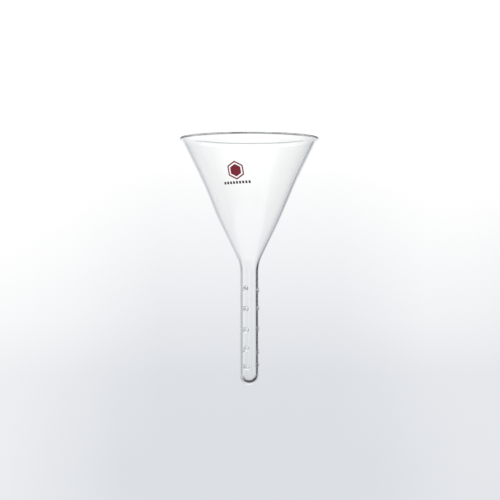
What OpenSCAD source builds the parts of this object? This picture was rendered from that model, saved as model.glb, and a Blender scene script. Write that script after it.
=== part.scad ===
// Glass funnel with a closed, perforated stem.
// A thin cone with a rounded, slightly flared rim narrows into a straight stem. A round
// bottom closes the stem, and the liquid leaves through three columns of side holes, each
// with a raised, fire-polished lip. A small enamel mark is fired onto the front of the cone.
// The origin is the lowest point of the closed tip, on the axis, and +Z points to the rim.
// Azimuths are counted from the front, -Y, towards +X.

/* [Cone] */
// Outside diameter of the rim
rim_od = 75; // [70:1:90]
// Angle between the cone's wall and the axis
cone_angle = 25; // [22:0.5:30]
// Thickness of the cone's wall at the rim
cone_t = 1.5; // [1.4:0.1:1.8]
// Height at which the outside of the cone, drawn on, would meet the outside of the stem
corner_z = 65; // [62:0.1:75]
// Strength of the gentle swell and hollow that hand working leaves along the wall
wall_swing = 0.5; // [0:0.1:0.8]

/* [Rim] */
// Radius of the rounded lip
lip_r = 0.75; // [0.75:0.05:1.4]
// Radius of the outward flare just below the lip
flare_r = 6; // [5:0.5:12]
// Angle through which the flare turns outwards
flare_turn = 30; // [10:1:35]

/* [Stem] */
// Outside diameter of the stem
stem_od = 10; // [9:0.5:12]
// Thickness of the stem's wall
stem_t = 1; // [0.8:0.1:1.2]
// Radius of the outside curve between stem and cone
neck_r = 20; // [15:1:24]
// Thickness of the glass at the very bottom
tip_t = 1.8; // [1.4:0.1:2]

/* [Holes] */
// Diameter of a side hole
hole_d = 1.6; // [1.2:0.1:2]
// Columns of holes around the stem
hole_columns = 3; // [1:1:3]
// Holes in a column
hole_rows = 5; // [1:1:5]
// Height of the lowest row
first_row_z = 9.4; // [9.4:0.1:10]
// Distance between rows
row_pitch = 10.4; // [10:0.1:11]
// Azimuth of the first column at its lowest hole
first_azimuth = -13.5; // [-180:0.5:180]
// Turn from each row to the one above it
row_lean = -2.5; // [-4:0.25:4]
// Width of the glass in a hole's lip
hole_lip_w = 0.7; // [0.6:0.1:0.9]
// How far a hole's lip stands out of the stem
hole_lip_h = 0.4; // [0.3:0.05:0.6]

/* [Enamel] */
// Thickness of the fired enamel
enamel_t = 0.12; // [0.1:0.01:0.2]
// Height of the middle of the badge
badge_z = 114.1; // [100:0.1:120]
// Azimuth of the middle of the badge
badge_azimuth = -15.3; // [-180:0.1:180]
// Distance from the middle of the badge to its corners
badge_r = 4.9; // [3:0.1:6]
// Height of the middle of the dashed line
line_z = 107.8; // [90:0.1:113]
// Azimuth of the middle of the dashed line
line_azimuth = -15.3; // [-180:0.1:180]
// Turn of the badge and of the line, which are printed a little askew
mark_turn = 2.5; // [-5:0.5:5]
// Dashes in the line
dashes = 9; // [3:1:11]
// Width of a dash
dash_w = 1.1; // [0.8:0.1:1.2]
// Height of a dash
dash_h = 1.4; // [1:0.1:2.5]
// Distance from one dash to the next
dash_pitch = 1.68; // [1.5:0.01:1.7]

/* [Hidden] */

$fn = 96;
glass = [0.80, 0.88, 0.92, 0.45];
red_enamel = [0.50, 0.09, 0.14];
dark_enamel = [0.20, 0.18, 0.20];

stem_r = stem_od / 2;
bore_r = stem_r - stem_t;
past = 1;            // how far a cutting solid runs past what it cuts
arc_steps = 12;      // straight steps in the neck's and the flare's curves
wall_steps = 24;     // straight steps along the cone's wall

// The wall's section lies in the (radius, height) plane. Along the wall runs wall_dir, and
// out of it points wall_out. s is the distance along the wall from the corner at corner_z.
wall_dir = [sin(cone_angle), cos(cone_angle)];
wall_out = [cos(cone_angle), -sin(cone_angle)];
corner = [stem_r, corner_z];

// Neck: its two curves share a centre, so its wall is as thick as the stem's. They start at
// neck_z and end at the seam with the cone.
low_s = neck_r * tan(cone_angle / 2);
neck_z = corner_z - low_s;

// Rim: the flare turns from the cone's direction up to the middle of the rounded lip.
lip_angle = cone_angle + flare_turn;
high_s = (rim_od / 2 - lip_r - flare_r * (cos(cone_angle) - cos(lip_angle))
    - stem_r + cone_t / 2 * cos(cone_angle)) / sin(cone_angle);
flare_centre = corner + high_s * wall_dir + (flare_r - cone_t / 2) * wall_out;
lip_centre = on_arc(flare_centre, flare_r, lip_angle);

// Closed tip: the seam with the tube lies a little above the round bottom of the bore.
tip_seam_z = tip_t + bore_r + 1;

// The holes are set by eye, so each one drifts up or down a little from its even place.
hole_lip_r = hole_d / 2 + hole_lip_w;
drift = [
    [0.2, -0.1, -0.7, 0.3, 1.1],
    [1.5, -2.1, 0.1, 0.7, 0.1],
    [0.5, -1.1, -0.6, 0.3, 0.9]
];

function on_arc(centre, radius, angle) = centre + radius * [-cos(angle), sin(angle)];

function arc(centre, radius, from, to) =
    [for (i = [0 : arc_steps]) on_arc(centre, radius, from + (to - from) * i / arc_steps)];

// A point of the cone's wall, u = 0 at the neck and 1 at the rim, depth below its outside
function wall_point(u, depth) =
    corner + (low_s + u * (high_s - low_s)) * wall_dir
    + (wall_swing * sin(360 * u) * sin(180 * u) - depth) * wall_out;

// Thickness of the wall, which rises evenly from the stem's at the neck to cone_t at the rim
function wall_t(u) = stem_t + (cone_t - stem_t) * u;

function outside(out) = [for (i = [0 : wall_steps]) wall_point(i / wall_steps, -out)];

function inside() =
    [for (i = [0 : wall_steps]) wall_point(i / wall_steps, wall_t(i / wall_steps))];

function backwards(points) = [for (i = [len(points) - 1 : -1 : 0]) points[i]];

function hole_z(row, column) = first_row_z + row * row_pitch + drift[column][row];

function hole_azimuth(row, column) =
    first_azimuth + column * 360 / hole_columns + row * row_lean;

// Turns its children, drawn up +Z, to point outwards at an azimuth and a height
module facing(azimuth, z) {
    translate([0, 0, z]) rotate([90, 0, azimuth]) children();
}

module at_each_hole() {
    for (column = [0 : hole_columns - 1], row = [0 : hole_rows - 1])
        facing(hole_azimuth(row, column), hole_z(row, column)) children();
}

module rim_lip() {
    color(glass) rotate_extrude() {
        polygon(concat(
            arc(flare_centre, flare_r - cone_t / 2, cone_angle, lip_angle),
            arc(flare_centre, flare_r + cone_t / 2, lip_angle, cone_angle)));
        translate(lip_centre) circle(r = lip_r);
    }
}

module cone_wall() {
    color(glass) rotate_extrude()
        polygon(concat(outside(0), backwards(inside())));
}

module neck_shoulder() {
    color(glass) rotate_extrude()
        polygon(concat(
            arc([stem_r + neck_r, neck_z], neck_r, 0, cone_angle),
            arc([stem_r + neck_r, neck_z], neck_r + stem_t, cone_angle, 0)));
}

module stem_tube() {
    tube_length = neck_z - tip_seam_z;
    color(glass) difference() {
        translate([0, 0, tip_seam_z]) cylinder(h = tube_length, r = stem_r);
        translate([0, 0, tip_seam_z - past])
            cylinder(h = tube_length + 2 * past, r = bore_r);
        at_each_hole() cylinder(h = stem_r + past, d = hole_d);
    }
}

// Half of the section of a round-bottomed rod that stands on the height z
module round_rod(radius, z, top) {
    translate([0, z + radius]) circle(r = radius);
    translate([0, z + radius]) square([radius, top - z - radius]);
}

module stem_tip() {
    color(glass) rotate_extrude() intersection() {
        square([stem_r, tip_seam_z]);
        difference() {
            round_rod(stem_r, 0, tip_seam_z);
            round_rod(bore_r, tip_t, tip_seam_z + past);
        }
    }
}

// The raised lips: rounded rings whose feet are cut to the stem's outside
module hole_lips() {
    bead_r = hole_lip_w / 2;
    bead_z = stem_r + hole_lip_h - bead_r;
    foot_z = bore_r;
    color(glass) difference() {
        at_each_hole() rotate_extrude() translate([hole_lip_r - bead_r, 0]) {
            translate([0, bead_z]) circle(r = bead_r, $fn = 32);
            translate([-bead_r, foot_z]) square([hole_lip_w, bead_z - foot_z]);
        }
        cylinder(h = corner_z, r = stem_r);
    }
}

// A flat shape laid onto the outside of the cone as a layer of enamel
module enamel(azimuth, z) {
    intersection() {
        rotate_extrude() polygon(concat(outside(enamel_t), backwards(outside(0))));
        facing(azimuth, z) linear_extrude(rim_od / 2) rotate(mark_turn) children();
    }
}

// A plain hexagon inside a thin hexagonal frame
module enamel_badge() {
    frame_inner = 0.84;
    middle = 0.66;
    color(red_enamel) enamel(badge_azimuth, badge_z) rotate(90) {
        difference() {
            circle(r = badge_r, $fn = 6);
            circle(r = badge_r * frame_inner, $fn = 6);
        }
        circle(r = badge_r * middle, $fn = 6);
    }
}

module enamel_line() {
    color(dark_enamel) enamel(line_azimuth, line_z)
        for (i = [0 : dashes - 1])
            translate([(i - (dashes - 1) / 2) * dash_pitch, 0])
                square([dash_w, dash_h], center = true);
}

rim_lip();
cone_wall();
neck_shoulder();
stem_tube();
stem_tip();
hole_lips();
enamel_badge();
enamel_line();
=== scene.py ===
"""Looks of the glass funnel with a closed, perforated stem.

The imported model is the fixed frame. Every visible piece stands for one of its nodes: the glass
pieces are turned on a lathe or pierced here at a finer grain, and meet their neighbours face to
face. The faces of a joint are optically empty, as in fused glass, so no seam shows. Lengths are
in metres, +Z runs up the axis and the front, with the enamel mark, faces -Y.
"""

import math

import bmesh
import bpy
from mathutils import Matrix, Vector, geometry, noise

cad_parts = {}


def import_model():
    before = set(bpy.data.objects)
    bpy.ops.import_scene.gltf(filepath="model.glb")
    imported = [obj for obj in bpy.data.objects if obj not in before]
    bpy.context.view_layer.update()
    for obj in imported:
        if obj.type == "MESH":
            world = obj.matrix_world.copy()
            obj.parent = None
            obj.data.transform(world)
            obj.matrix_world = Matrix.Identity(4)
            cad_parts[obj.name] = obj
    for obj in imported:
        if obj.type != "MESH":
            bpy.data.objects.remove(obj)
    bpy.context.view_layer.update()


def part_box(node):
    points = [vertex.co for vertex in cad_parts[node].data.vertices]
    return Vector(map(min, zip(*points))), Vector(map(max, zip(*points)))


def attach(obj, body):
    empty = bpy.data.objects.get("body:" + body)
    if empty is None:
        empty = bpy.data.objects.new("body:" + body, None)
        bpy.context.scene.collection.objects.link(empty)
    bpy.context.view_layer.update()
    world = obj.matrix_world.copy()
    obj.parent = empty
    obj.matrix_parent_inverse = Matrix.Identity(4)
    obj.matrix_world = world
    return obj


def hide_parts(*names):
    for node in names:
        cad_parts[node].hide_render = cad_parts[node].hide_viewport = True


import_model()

MM = 0.001

# Sizes taken from the frame
stem_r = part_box("stem_tube")[1].x
tip_seam_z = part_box("stem_tube")[0].z
neck_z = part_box("stem_tube")[1].z
rim_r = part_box("rim_lip")[1].x

# Cone and rim, with the design's own dimensions
cone_angle = math.radians(25)
cone_t = 1.5 * MM
wall_swing = 0.5 * MM
lip_r = 0.75 * MM
flare_r = 6 * MM
flare_turn = math.radians(30)
ripple = 0.05 * MM            # how far the inside of the cone departs from a true surface
ripple_start = 12 * MM        # height above the neck over which the ripple sets in
ripple_length = 28 * MM       # how long the ripple's waves are along the axis
ripple_around = 1.6           # how many of them there are around it

# Neck, stem and tip
stem_t = 1 * MM
neck_r = 20 * MM
tip_t = 1.8 * MM

# Side holes and their lips
hole_r = 0.8 * MM
hole_lip_h = 0.4 * MM
hole_lip_round = 0.25 * MM    # radius of a lip's round inner edge
foot_r = 1.6 * MM             # where a lip runs out on the stem
hole_rows = 5
hole_columns = 3
first_row_z = 9.4 * MM
row_pitch = 10.4 * MM
first_azimuth = math.radians(-13.5)
row_lean = math.radians(-2.5)
drift = [
    [0.2, -0.1, -0.7, 0.3, 1.1],
    [1.5, -2.1, 0.1, 0.7, 0.1],
    [0.5, -1.1, -0.6, 0.3, 0.9],
]

# Enamel mark
badge_z = 114.1 * MM
badge_azimuth = math.radians(-15.3)
badge_r = 4.9 * MM
badge_frame = 0.84            # inside of the badge's frame, as a share of the badge
badge_middle = 0.66           # outside of its middle
line_z = 107.8 * MM
line_azimuth = math.radians(-15.3)
dashes = 9
dash_w = 1.1 * MM
dash_h = 1.4 * MM
dash_pitch = 1.68 * MM
mark_turn = math.radians(2.5)
enamel_up = 0.06 * MM         # how far the enamel stands out of the glass
enamel_down = 0.02 * MM       # how far it reaches into the glass

# Fineness of the meshes
segments = 160                # vertices around every lathe-turned ring, the same on all pieces
ring_count = 40               # vertices around a hole
tiny = 1e-7
GLASS, JOINT = 0, 1           # the two material slots of a glass piece

# The tent's brightness behind the funnel, by elevation in degrees
HEIGHT_TONES = [
    (-39, 1), (-32, 0.62), (-22, 0.66), (-9, 0.72), (-1.9, 0.745), (0.5, 0.835), (4.4, 0.98),
    (5.3, 1.03), (9, 1.12), (60, 1.12),
]

# How that changes around the funnel, by compass degrees from +X towards +Y, at ten elevations
RING_TONES = [
    (-60, [(0, 0.05), (40, 0.01), (140, 0.02), (180, 0.9), (350, 0.9)]),
    (-39, [(0, 0.03), (50, 0.01), (84, 0.01), (96, 0.01), (108, 0.03), (118, 0.2), (140, 0.4),
           (190, 0.9), (340, 0.9), (350, 0.1)]),
    (-32, [(0, 0.02), (60, 0.03), (72, 0.2), (84, 0.8), (98, 0.8), (108, 0.55), (118, 0.8),
           (125, 1), (145, 1), (155, 0.5), (180, 0.35), (300, 0.3), (303, 1), (327, 1),
           (335, 0.1)]),
    (-21, [(0, 0.02), (30, 0.03), (50, 0.25), (60, 0.4), (72, 0.8), (84, 1), (96, 1), (108, 0.9),
           (125, 1), (145, 1), (155, 0.6), (180, 0.35), (220, 0.2), (300, 0.2), (303, 1),
           (327, 1), (335, 0.05)]),
    (-12, [(0, 0.03), (25, 0.03), (40, 0.3), (60, 0.6), (72, 0.9), (84, 1.05), (90, 1),
           (99, 1.1), (108, 1), (118, 0.8), (145, 0.75), (155, 0.55), (171, 0.75), (189, 0.75),
           (196, 0.2), (300, 0.2), (303, 1), (327, 1), (335, 0.05)]),
    (-5, [(0, 0.02), (52, 0.02), (62, 0.4), (66, 0.85), (71, 1.1), (77, 1.12), (83, 1.08),
          (86, 1), (94, 1), (98, 1.15), (103, 1.25), (108, 1.1), (114, 0.85), (130, 0.65),
          (145, 0.55), (160, 0.4), (171, 0.95), (189, 0.95), (195, 0.25), (240, 0.3), (250, 0.9),
          (290, 0.9), (298, 0.25), (305, 0.8), (325, 0.8), (332, 0.2), (350, 0.05)]),
    (0, [(0, 0.02), (62, 0.01), (66, 0.05), (70, 0.6), (73, 0.85), (79, 1.02), (84, 1.1),
         (87, 1), (93, 1), (96, 1.12), (100, 1.2), (103, 1.12), (108, 0.82), (116, 0.68),
         (125, 0.6), (143, 0.6), (160, 0.45), (171, 0.95), (189, 0.95), (195, 0.3), (240, 0.35),
         (250, 0.9), (290, 0.9), (298, 0.35), (305, 0.8), (325, 0.8), (332, 0.2), (350, 0.05)]),
    (8, [(0, 0.02), (48, 0.02), (60, 0.15), (66, 0.4), (72, 0.65), (77, 0.85), (82, 1), (98, 1),
         (103, 0.95), (108, 0.78), (114, 0.65), (130, 0.55), (145, 0.5), (160, 0.4), (171, 0.95),
         (189, 0.95), (195, 0.3), (240, 0.35), (250, 0.9), (290, 0.9), (300, 0.35), (330, 0.15),
         (350, 0.05)]),
    (22, [(0, 0.25), (35, 0.2), (50, 0.3), (60, 0.45), (72, 0.8), (84, 1), (96, 1), (108, 0.85),
          (120, 0.7), (160, 0.6), (200, 0.7), (240, 1), (300, 1), (330, 0.6)]),
    (45, [(0, 0.7), (50, 0.7), (72, 0.9), (84, 1), (96, 1), (108, 0.9), (130, 0.85), (200, 1),
          (300, 1), (340, 0.8)]),
]

# The cloth is cooler in the shade: the colour it has at one tone. PEAK is the brightest tone.
SHADE_TONE = 0.75
SHADE_COLOUR = (0.73, 0.753, 0.791)
PEAK = 1.15

# Derived places along the wall, as in the CAD. The wall's section lies in the (radius, height)
# plane: along the wall runs wall_dir, out of it points wall_out, and s counts from corner.
bore_r = stem_r - stem_t
low_s = neck_r * math.tan(cone_angle / 2)
corner = Vector((stem_r, neck_z + low_s))
wall_dir = Vector((math.sin(cone_angle), math.cos(cone_angle)))
wall_out = Vector((math.cos(cone_angle), -math.sin(cone_angle)))
lip_angle = cone_angle + flare_turn
flare_reach = flare_r * (math.cos(cone_angle) - math.cos(lip_angle))
high_s = (rim_r - lip_r - flare_reach - stem_r + cone_t / 2 * wall_out.x) / wall_dir.x
flare_centre = corner + high_s * wall_dir + (flare_r - cone_t / 2) * wall_out


# ---------------------------------------------------------------- profiles

def smooth(t):
    """0 to 1 with a flat start and end"""
    t = min(max(t, 0), 1)
    return t * t * (3 - 2 * t)


def on_arc(centre, radius, angle):
    return centre + radius * Vector((-math.cos(angle), math.sin(angle)))


def wall_point(u, depth):
    """A point of the cone's wall: u from the neck's seam, 0, to the rim's, 1"""
    swing = wall_swing * math.sin(2 * math.pi * u) * math.sin(math.pi * u)
    return corner + (low_s + u * (high_s - low_s)) * wall_dir + (swing - depth) * wall_out


def line(function, steps, *extra):
    """The points that a function gives from 0 to 1"""
    return [function(i / steps, *extra) for i in range(steps + 1)]


def cone_outline():
    steps = 72

    def inner(u):
        return wall_point(u, stem_t + (cone_t - stem_t) * u)

    return line(wall_point, steps, 0), line(inner, steps)[::-1]


def neck_outline():
    steps = 32

    def curve(t, radius):
        return on_arc(Vector((stem_r + neck_r, neck_z)), radius, t * cone_angle)

    return line(curve, steps, neck_r), line(curve, steps, neck_r + stem_t)[::-1]


def rim_outline():
    """The flare, ending in a full round lip. Its outside runs over the lip's crest."""
    steps = 24
    crest_steps = 16
    along = Vector((math.sin(lip_angle), math.cos(lip_angle)))

    def centre(t):
        return on_arc(flare_centre, flare_r, cone_angle + t * flare_turn)

    def out(t):
        angle = cone_angle + t * flare_turn
        return Vector((math.cos(angle), -math.sin(angle)))

    def side(t, sign):
        half = cone_t / 2 + (lip_r - cone_t / 2) * smooth(t)
        return centre(t) + sign * half * out(t)

    outside = line(side, steps, 1)
    for i in range(1, crest_steps):
        turn = math.pi * i / crest_steps
        outside.append(centre(1) + lip_r * (math.cos(turn) * out(1) + math.sin(turn) * along))
    return outside, line(side, steps, -1)[::-1]


def tip_outline():
    """From the lowest point outside to the seam, and back inside to the bore's lowest point"""
    def bowl(t, radius, low):
        angle = t * math.pi / 2
        return Vector((radius * math.sin(angle), low + radius * (1 - math.cos(angle))))

    outside = line(bowl, 32, stem_r, 0) + [Vector((stem_r, tip_seam_z))]
    inside = line(bowl, 28, bore_r, tip_t) + [Vector((bore_r, tip_seam_z))]
    return outside, inside[::-1]


# ---------------------------------------------------------------- glass pieces

def finish_mesh(bm, node, materials):
    """Turns a bmesh into the piece of the root body that stands for a CAD node"""
    bmesh.ops.recalc_face_normals(bm, faces=bm.faces)
    mesh = bpy.data.meshes.new(node)
    bm.to_mesh(mesh)
    bm.free()
    for material in materials:
        mesh.materials.append(material)
    piece = bpy.data.objects.new(node, mesh)
    bpy.context.scene.collection.objects.link(piece)
    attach(piece, "root")
    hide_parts(node)
    return piece


def band(bm, ring, after):
    """The faces between two rings of vertices. A ring may be one vertex, repeated."""
    faces = []
    for k in range(len(ring)):
        n = (k + 1) % len(ring)
        corners = dict.fromkeys([ring[k], ring[n], after[n], after[k]])
        faces.append(bm.faces.new(list(corners)))
    return faces


def mark_edges(bm):
    """Smooth faces, with a sharp edge wherever the material changes"""
    for face in bm.faces:
        face.smooth = True
    for edge in bm.edges:
        slots = {face.material_index for face in edge.link_faces}
        edge.smooth = len(slots) < 2


def worked(point, angle):
    """The faint ripple that drawing leaves on the inside of the cone and of the flare"""
    x, z = point
    fade = smooth((z - neck_z) / ripple_start)
    probe = Vector((math.cos(angle) * ripple_around, math.sin(angle) * ripple_around,
                    z / ripple_length))
    return Vector((x + fade * ripple * noise.noise(probe), z))


def lathe(node, outline, materials, closed_top=False):
    """Turns an outside and an inside line about Z, and joins their ends with joint faces.
    With closed_top the outside line runs over the top, so there is no joint there."""
    outside, inside = outline
    top = len(outside) - 1
    bm = bmesh.new()
    rings = []
    for i, point in enumerate(outside + inside):
        if point.x < tiny:
            rings.append([bm.verts.new((0, 0, point.y))] * segments)
            continue
        ring = []
        for k in range(segments):
            angle = 2 * math.pi * k / segments
            r, z = point if i <= top else worked(point, angle)
            ring.append(bm.verts.new((r * math.cos(angle), r * math.sin(angle), z)))
        rings.append(ring)
    joints = {len(rings) - 1} if closed_top else {top, len(rings) - 1}
    for i, ring in enumerate(rings):
        after = rings[(i + 1) % len(rings)]
        if ring[0] == ring[1] and after[0] == after[1]:
            continue
        for face in band(bm, ring, after):
            face.material_index = JOINT if i in joints else GLASS
    mark_edges(bm)
    return finish_mesh(bm, node, materials)


def holes():
    """The azimuth and height of every side hole"""
    for column in range(hole_columns):
        for row in range(hole_rows):
            azimuth = first_azimuth + column * 2 * math.pi / hole_columns + row * row_lean
            yield azimuth, first_row_z + row * row_pitch + drift[column][row] * MM


def on_stem(radius, s, z):
    """A point at arc length s, on the outside, from the front towards +X"""
    angle = s / stem_r - math.pi / 2
    return Vector((radius * math.cos(angle), radius * math.sin(angle), z))


def circle_points(centre, radius):
    points = []
    for i in range(ring_count):
        angle = 2 * math.pi * i / ring_count
        points.append(Vector((centre[0] + radius * math.cos(angle),
                              centre[1] + radius * math.sin(angle))))
    return points


def stem_sheet():
    """The stem's wall laid flat: points (s, z), triangles, and the holes' centres"""
    half_turn = math.pi * stem_r
    rings = (hole_r, 1.05 * MM, 1.3 * MM, foot_r, 1.95 * MM)
    keep_off = 2.15 * MM
    row_height = 0.45 * MM
    centres = [(azimuth * stem_r, z) for azimuth, z in holes()]
    centres = [((s + half_turn) % (2 * half_turn) - half_turn, z) for s, z in centres]
    rows = round((neck_z - tip_seam_z) / row_height)
    points = []
    for j in range(rows + 1):
        z = tip_seam_z + (neck_z - tip_seam_z) * j / rows
        for i in range(segments + 1):
            s = -half_turn + 2 * half_turn * i / segments
            if all(math.hypot(s - c[0], z - c[1]) > keep_off for c in centres):
                points.append(Vector((s, z)))
    for centre in centres:
        for radius in rings:
            points += circle_points(centre, radius)
    result = geometry.delaunay_2d_cdt(points, [], [], 0, tiny)
    flat, triangles = result[0], result[2]
    return flat, triangles, centres


def stem_tube(node, materials):
    """The sheet rolled up twice, outside and inside, with walls in the holes and at the ends"""
    crease = math.radians(35)
    flat, triangles, centres = stem_sheet()
    bm = bmesh.new()
    outer = [bm.verts.new(on_stem(stem_r, p.x, p.y)) for p in flat]
    inner = [bm.verts.new(on_stem(bore_r, p.x, p.y)) for p in flat]
    for tri in triangles:
        middle = sum((flat[i] for i in tri), Vector((0, 0))) / 3
        off = min(math.hypot(middle.x - c[0], middle.y - c[1]) for c in centres)
        if off < hole_r:
            continue
        face = bm.faces.new([outer[i] for i in tri])
        face.material_index = JOINT if off < foot_r else GLASS
        bm.faces.new([inner[i] for i in reversed(tri)])
    lonely = [v for v in bm.verts if not v.link_faces]
    bmesh.ops.delete(bm, geom=lonely, context="VERTS")
    bmesh.ops.remove_doubles(bm, verts=bm.verts, dist=tiny / 10)
    bridge_walls(bm)
    mark_edges(bm)
    for edge in bm.edges:
        if len(edge.link_faces) == 2 and edge.calc_face_angle() > crease:
            edge.smooth = False
    return finish_mesh(bm, node, materials)


def bridge_walls(bm):
    """Joins each open edge of the outside to its partner on the inside"""
    def is_outside(v):
        return math.hypot(v.co.x, v.co.y) > (stem_r + bore_r) / 2

    def key(v):
        angle = math.atan2(v.co.y, v.co.x)
        return round(math.cos(angle), 5), round(math.sin(angle), 5), round(v.co.z / MM, 4)

    def at_an_end(a, b):
        return any(abs(a.co.z - z) < tiny and abs(b.co.z - z) < tiny
                   for z in (tip_seam_z, neck_z))

    rim = [edge for edge in bm.edges if len(edge.link_faces) == 1]
    inside = {key(v): v for edge in rim for v in edge.verts if not is_outside(v)}
    for edge in rim:
        a, b = edge.verts
        if is_outside(a):
            face = bm.faces.new([a, b, inside[key(b)], inside[key(a)]])
            face.material_index = JOINT if at_an_end(a, b) else GLASS


def lip_profile():
    """Offset from the hole's axis and height above the stem, up the wall and out to the foot"""
    edge_steps = 8
    slope_steps = 10
    crest_r = hole_r + hole_lip_round
    edge_z = hole_lip_h - hole_lip_round
    points = [(hole_r, 0), (hole_r, edge_z)]
    for i in range(1, edge_steps + 1):
        turn = math.pi / 2 * i / edge_steps
        points.append((crest_r - hole_lip_round * math.cos(turn),
                       edge_z + hole_lip_round * math.sin(turn)))
    for i in range(1, slope_steps + 1):
        t = i / slope_steps
        points.append((crest_r + (foot_r - crest_r) * t,
                       hole_lip_h * (1 + math.cos(math.pi * t)) / 2))
    return points


def hole_lips(node, materials):
    bm = bmesh.new()
    for azimuth, z in holes():
        rings = []
        for off, height in lip_profile():
            places = circle_points((azimuth * stem_r, z), off)
            rings.append([bm.verts.new(on_stem(stem_r + height, p.x, p.y)) for p in places])
        for i, ring in enumerate(rings):
            for face in band(bm, ring, rings[(i + 1) % len(rings)]):
                face.material_index = JOINT if i == len(rings) - 1 else GLASS
    mark_edges(bm)
    return finish_mesh(bm, node, materials)


# ---------------------------------------------------------------- enamel

def cone_surface(z):
    """The radius of the cone's outside at a height, found by halving"""
    low, high = 0.0, 1.0
    for _ in range(40):
        u = (low + high) / 2
        if wall_point(u, 0).y < z:
            low = u
        else:
            high = u
    return wall_point(u, 0).x


def on_cone(azimuth, z0, a, b, lift):
    """A point a to the right and b above a spot on the cone, lifted off its outside"""
    across = a * math.cos(mark_turn) - b * math.sin(mark_turn)
    z = z0 + a * math.sin(mark_turn) + b * math.cos(mark_turn)
    r = cone_surface(z)
    ahead = math.sqrt(r * r - across * across)
    right = Vector((math.cos(azimuth), math.sin(azimuth), 0))
    out = Vector((math.sin(azimuth), -math.cos(azimuth), 0))
    level = right * across + out * ahead
    normal = level.normalized() * wall_out.x + Vector((0, 0, wall_out.y))
    return level + Vector((0, 0, z)) + normal * lift


def patch(bm, azimuth, z0, shape, inner, outer, around, across):
    """A thin solid between two scaled copies of a closed shape laid on the cone"""
    layers = []
    for lift in (enamel_up, -enamel_down):
        rings = []
        for j in range(across + 1):
            scale = inner + (outer - inner) * j / across
            if scale == 0:
                a, b = shape(0, 0)
                rings.append([bm.verts.new(on_cone(azimuth, z0, a, b, lift))] * around)
                continue
            ring = []
            for i in range(around):
                a, b = shape(2 * math.pi * i / around, scale)
                ring.append(bm.verts.new(on_cone(azimuth, z0, a, b, lift)))
            rings.append(ring)
        layers.append(rings)
    top, bottom = layers
    for rings in layers:
        for ring, after in zip(rings, rings[1:]):
            band(bm, ring, after)
    edges = [0, across] if inner else [across]
    for j in edges:
        band(bm, top[j], bottom[j])


def hexagon(angle, scale):
    """A point of a hexagon with its corners up and down, a little rounded and ragged"""
    side = math.pi / 3
    blunt = 0.985
    sector = (angle + side / 2) % side - side / 2
    reach = min(math.cos(side / 2) / math.cos(side / 2 - abs(sector)), blunt)
    ragged = 1 + 0.006 * noise.noise(Vector((math.cos(angle), math.sin(angle), scale)) * 9)
    r = badge_r * scale * reach * ragged
    return r * math.sin(angle), r * math.cos(angle)


def dash(index):
    """The shape of a dash: a block with rounded corners, at its place in the line"""
    middle = (index - (dashes - 1) / 2) * dash_pitch
    squareness = 2 / 7

    def shape(angle, scale):
        c, s = math.cos(angle), math.sin(angle)
        a = dash_w / 2 * math.copysign(abs(c) ** squareness, c)
        b = dash_h / 2 * math.copysign(abs(s) ** squareness, s)
        return middle + a * scale, b * scale

    return shape


def enamel_badge(node, materials):
    bm = bmesh.new()
    patch(bm, badge_azimuth, badge_z, hexagon, badge_frame, 1, 96, 4)
    patch(bm, badge_azimuth, badge_z, hexagon, 0, badge_middle, 96, 12)
    return finish_mesh(bm, node, materials)


def enamel_line(node, materials):
    bm = bmesh.new()
    for index in range(dashes):
        patch(bm, line_azimuth, line_z, dash(index), 0, 1, 28, 4)
    return finish_mesh(bm, node, materials)


# ---------------------------------------------------------------- materials

def new_material(name):
    material = bpy.data.materials.new(name)
    material.use_nodes = True
    nodes = material.node_tree.nodes
    return material, nodes, material.node_tree.links, nodes["Principled BSDF"]


def stretched_noise(nodes, links, scale, stretch, detail):
    """Noise in object space, drawn out along Z"""
    place = nodes.new("ShaderNodeTexCoord")
    squeeze = nodes.new("ShaderNodeMapping")
    squeeze.inputs["Scale"].default_value = (1, 1, stretch)
    links.new(place.outputs["Object"], squeeze.inputs["Vector"])
    texture = nodes.new("ShaderNodeTexNoise")
    texture.inputs["Scale"].default_value = scale
    texture.inputs["Detail"].default_value = detail
    links.new(squeeze.outputs["Vector"], texture.inputs["Vector"])
    return texture


def bumpy(nodes, links, shader, texture, strength, distance):
    """Gives a shader the relief of a texture"""
    bump = nodes.new("ShaderNodeBump")
    bump.inputs["Strength"].default_value = strength
    bump.inputs["Distance"].default_value = distance
    links.new(texture.outputs["Fac"], bump.inputs["Height"])
    links.new(bump.outputs["Normal"], shader.inputs["Normal"])


def glass_material():
    """Clear glass with faint striae along the axis"""
    material, nodes, links, shader = new_material("clear_glass")
    shader.inputs["Base Color"].default_value = (0.992, 0.997, 0.996, 1)
    shader.inputs["Roughness"].default_value = 0
    shader.inputs["IOR"].default_value = 1.474
    shader.inputs["Transmission Weight"].default_value = 1
    striae = stretched_noise(nodes, links, 140, 0.12, 1)
    bumpy(nodes, links, shader, striae, 0.03, 0.2 * MM)
    return material


def joint_material():
    """Fused glass meets glass: light passes as if nothing were there"""
    material, nodes, links, shader = new_material("fused_joint")
    nodes.remove(shader)
    clear = nodes.new("ShaderNodeBsdfTransparent")
    links.new(clear.outputs["BSDF"], nodes["Material Output"].inputs["Surface"])
    return material


def enamel_material(name, dark, light):
    """Fired enamel, whose colour varies finely between a dark and a light one"""
    material, nodes, links, shader = new_material(name)
    grain = stretched_noise(nodes, links, 2600, 1, 3)
    colours = nodes.new("ShaderNodeValToRGB")
    low, high = colours.color_ramp.elements
    low.position = 0.35
    low.color = (*dark, 1)
    high.position = 0.7
    high.color = (*light, 1)
    links.new(grain.outputs["Fac"], colours.inputs["Fac"])
    links.new(colours.outputs["Color"], shader.inputs["Base Color"])
    shader.inputs["Roughness"].default_value = 0.35
    bumpy(nodes, links, shader, grain, 0.25, 0.02 * MM)
    return material


# ---------------------------------------------------------------- studio

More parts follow.
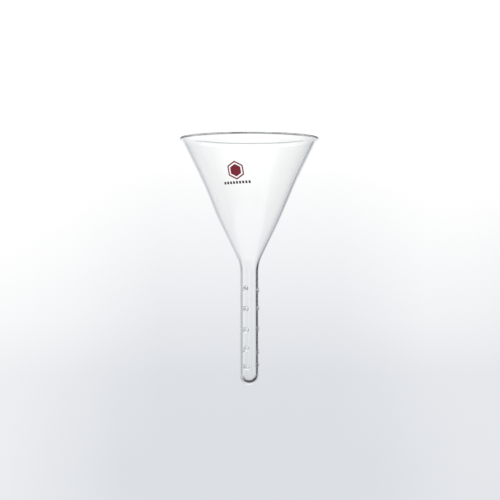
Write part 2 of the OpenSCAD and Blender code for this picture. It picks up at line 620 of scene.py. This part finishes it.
def studio():
    """A round, seamless light tent, whose pale floor bends up into the wall"""
    floor_z = -0.3
    top_z = 3.0
    wall_r = 3.0
    bend_r = 1.2
    bend_steps = 16
    around = 96
    profile = []
    for i in range(bend_steps + 1):
        angle = math.pi / 2 * i / bend_steps
        profile.append((wall_r - bend_r + bend_r * math.sin(angle),
                        floor_z + bend_r * (1 - math.cos(angle))))
    profile.append((wall_r, top_z))
    bm = bmesh.new()
    rings = []
    for r, z in profile:
        turns = [2 * math.pi * k / around for k in range(around)]
        rings.append([bm.verts.new((r * math.cos(t), r * math.sin(t), z)) for t in turns])
    bm.faces.new(rings[0])
    for ring, after in zip(rings, rings[1:]):
        band(bm, ring, after)
    for face in bm.faces:
        face.smooth = True
    mesh = bpy.data.meshes.new("studio_tent")
    bm.to_mesh(mesh)
    bm.free()
    mesh.materials.append(tent_material())
    tent = bpy.data.objects.new("studio_tent", mesh)
    bpy.context.scene.collection.objects.link(tent)


def ramp(nodes, links, value, places):
    """A grey ramp through (position, level) places"""
    node = nodes.new("ShaderNodeValToRGB")
    elements = node.color_ramp.elements
    while len(elements) < len(places):
        elements.new(0.5)
    for element, (position, level) in zip(elements, places):
        element.position = position
        element.color = (level, level, level, 1)
    links.new(value, node.inputs["Fac"])
    return node.outputs["Color"]


def mix(nodes, links, factor, a, b):
    node = nodes.new("ShaderNodeMix")
    node.data_type = "FLOAT"
    links.new(factor, node.inputs["Factor"])
    links.new(a, node.inputs["A"])
    links.new(b, node.inputs["B"])
    return node.outputs["Result"]


def arithmetic(nodes, links, operation, a, b):
    node = nodes.new("ShaderNodeMath")
    node.operation = operation
    links.new(a, node.inputs[0])
    links.new(b, node.inputs[1])
    return node.outputs[0]


def to_unit(nodes, links, value, low, high):
    """Maps the range from low to high to 0 to 1"""
    node = nodes.new("ShaderNodeMapRange")
    node.inputs["From Min"].default_value = low
    node.inputs["From Max"].default_value = high
    links.new(value, node.inputs["Value"])
    return node.outputs["Result"]


def height_of(elevation):
    """Where an elevation in degrees lies on the 0 to 1 scale of height in the tent"""
    return (math.sin(math.radians(elevation)) + 1) / 2


def direction_from_funnel(nodes, links):
    """The direction in which the funnel's middle sees a spot of the tent, as X, Y and Z"""
    place = nodes.new("ShaderNodeNewGeometry")
    away = nodes.new("ShaderNodeVectorMath")
    away.operation = "SUBTRACT"
    away.inputs[1].default_value = (0, 0, 0.07)
    links.new(place.outputs["Position"], away.inputs[0])
    direction = nodes.new("ShaderNodeVectorMath")
    direction.operation = "NORMALIZE"
    links.new(away.outputs[0], direction.inputs[0])
    split = nodes.new("ShaderNodeSeparateXYZ")
    links.new(direction.outputs[0], split.inputs[0])
    return split.outputs


def ring_pattern(nodes, links, compass, height):
    """The changes around the funnel, which run from each elevation's into the next one's"""
    rings = []
    for _, stops in RING_TONES:
        places = sorted((((degrees + 180) % 360) / 360, tone) for degrees, tone in stops)
        rings.append(ramp(nodes, links, compass, places))
    elevations = [elevation for elevation, _ in RING_TONES]
    pattern = rings[0]
    for ring, below, above in zip(rings[1:], elevations, elevations[1:]):
        ends = [(height_of(below), 0), (height_of(above), 1)]
        pattern = mix(nodes, links, ramp(nodes, links, height, ends), pattern, ring)
    return pattern


def tent_material():
    """Glowing cloth whose brightness depends on the direction from the funnel"""
    material, nodes, links, shader = new_material("tent_cloth")
    nodes.remove(shader)
    x, y, z = direction_from_funnel(nodes, links)
    height = to_unit(nodes, links, z, -1, 1)
    angle = arithmetic(nodes, links, "ARCTAN2", y, x)
    compass = to_unit(nodes, links, angle, -math.pi, math.pi)
    pattern = ring_pattern(nodes, links, compass, height)
    tones = [(height_of(elevation), tone / PEAK) for elevation, tone in HEIGHT_TONES]
    tone = ramp(nodes, links, height, tones)
    tint = nodes.new("ShaderNodeValToRGB")
    shade = tint.color_ramp.elements.new(SHADE_TONE / PEAK)
    shade.color = (*(value / PEAK for value in SHADE_COLOUR), 1)
    full = tint.color_ramp.elements.new(1 / PEAK)
    full.color = (1 / PEAK, 1 / PEAK, 1 / PEAK, 1)
    links.new(arithmetic(nodes, links, "MULTIPLY", tone, pattern), tint.inputs["Fac"])
    glow = nodes.new("ShaderNodeEmission")
    glow.inputs["Strength"].default_value = PEAK
    links.new(tint.outputs["Color"], glow.inputs["Color"])
    links.new(glow.outputs["Emission"], nodes["Material Output"].inputs["Surface"])
    return material


def world():
    """White air, which is seen only over the tent's open top"""
    scene = bpy.context.scene
    scene.world = bpy.data.worlds.new("studio_air")
    scene.world.use_nodes = True
    background = scene.world.node_tree.nodes["Background"]
    background.inputs["Color"].default_value = (1, 1, 1, 1)


def camera():
    """A long lens that looks up a little from the front"""
    tilt = math.radians(-2.15)
    distance = 1.5
    aim = Vector((0.0004, 0, 0.07272))
    back = Vector((0, -math.cos(tilt), math.sin(tilt)))
    data = bpy.data.cameras.new("camera")
    data.lens = 200.3
    data.clip_start = 0.05
    data.clip_end = 20
    cam = bpy.data.objects.new("camera", data)
    cam.location = aim + back * distance
    cam.rotation_mode = "QUATERNION"
    cam.rotation_quaternion = (-back).to_track_quat("-Z", "Y")
    bpy.context.scene.collection.objects.link(cam)
    bpy.context.scene.camera = cam


def light_paths():
    """The rounded lip leads light along the wall, so paths through the glass are long"""
    cycles = bpy.context.scene.cycles
    cycles.max_bounces = 128
    cycles.transmission_bounces = 128
    cycles.glossy_bounces = 64
    cycles.transparent_max_bounces = 128


def main():
    bpy.context.scene.view_settings.view_transform = "Standard"
    light_paths()
    camera()
    glass = [glass_material(), joint_material()]
    pieces = [
        lathe("rim_lip", rim_outline(), glass, closed_top=True),
        lathe("cone_wall", cone_outline(), glass),
        lathe("neck_shoulder", neck_outline(), glass),
        stem_tube("stem_tube", glass),
        lathe("stem_tip", tip_outline(), glass),
        hole_lips("hole_lips", glass),
    ]
    red = enamel_material("red_enamel", (0.2, 0.004, 0.018), (0.46, 0.016, 0.055))
    dark = enamel_material("dark_enamel", (0.05, 0.04, 0.045), (0.16, 0.14, 0.15))
    enamel_badge("enamel_badge", [red])
    enamel_line("enamel_line", [dark])
    world()
    studio()


main()
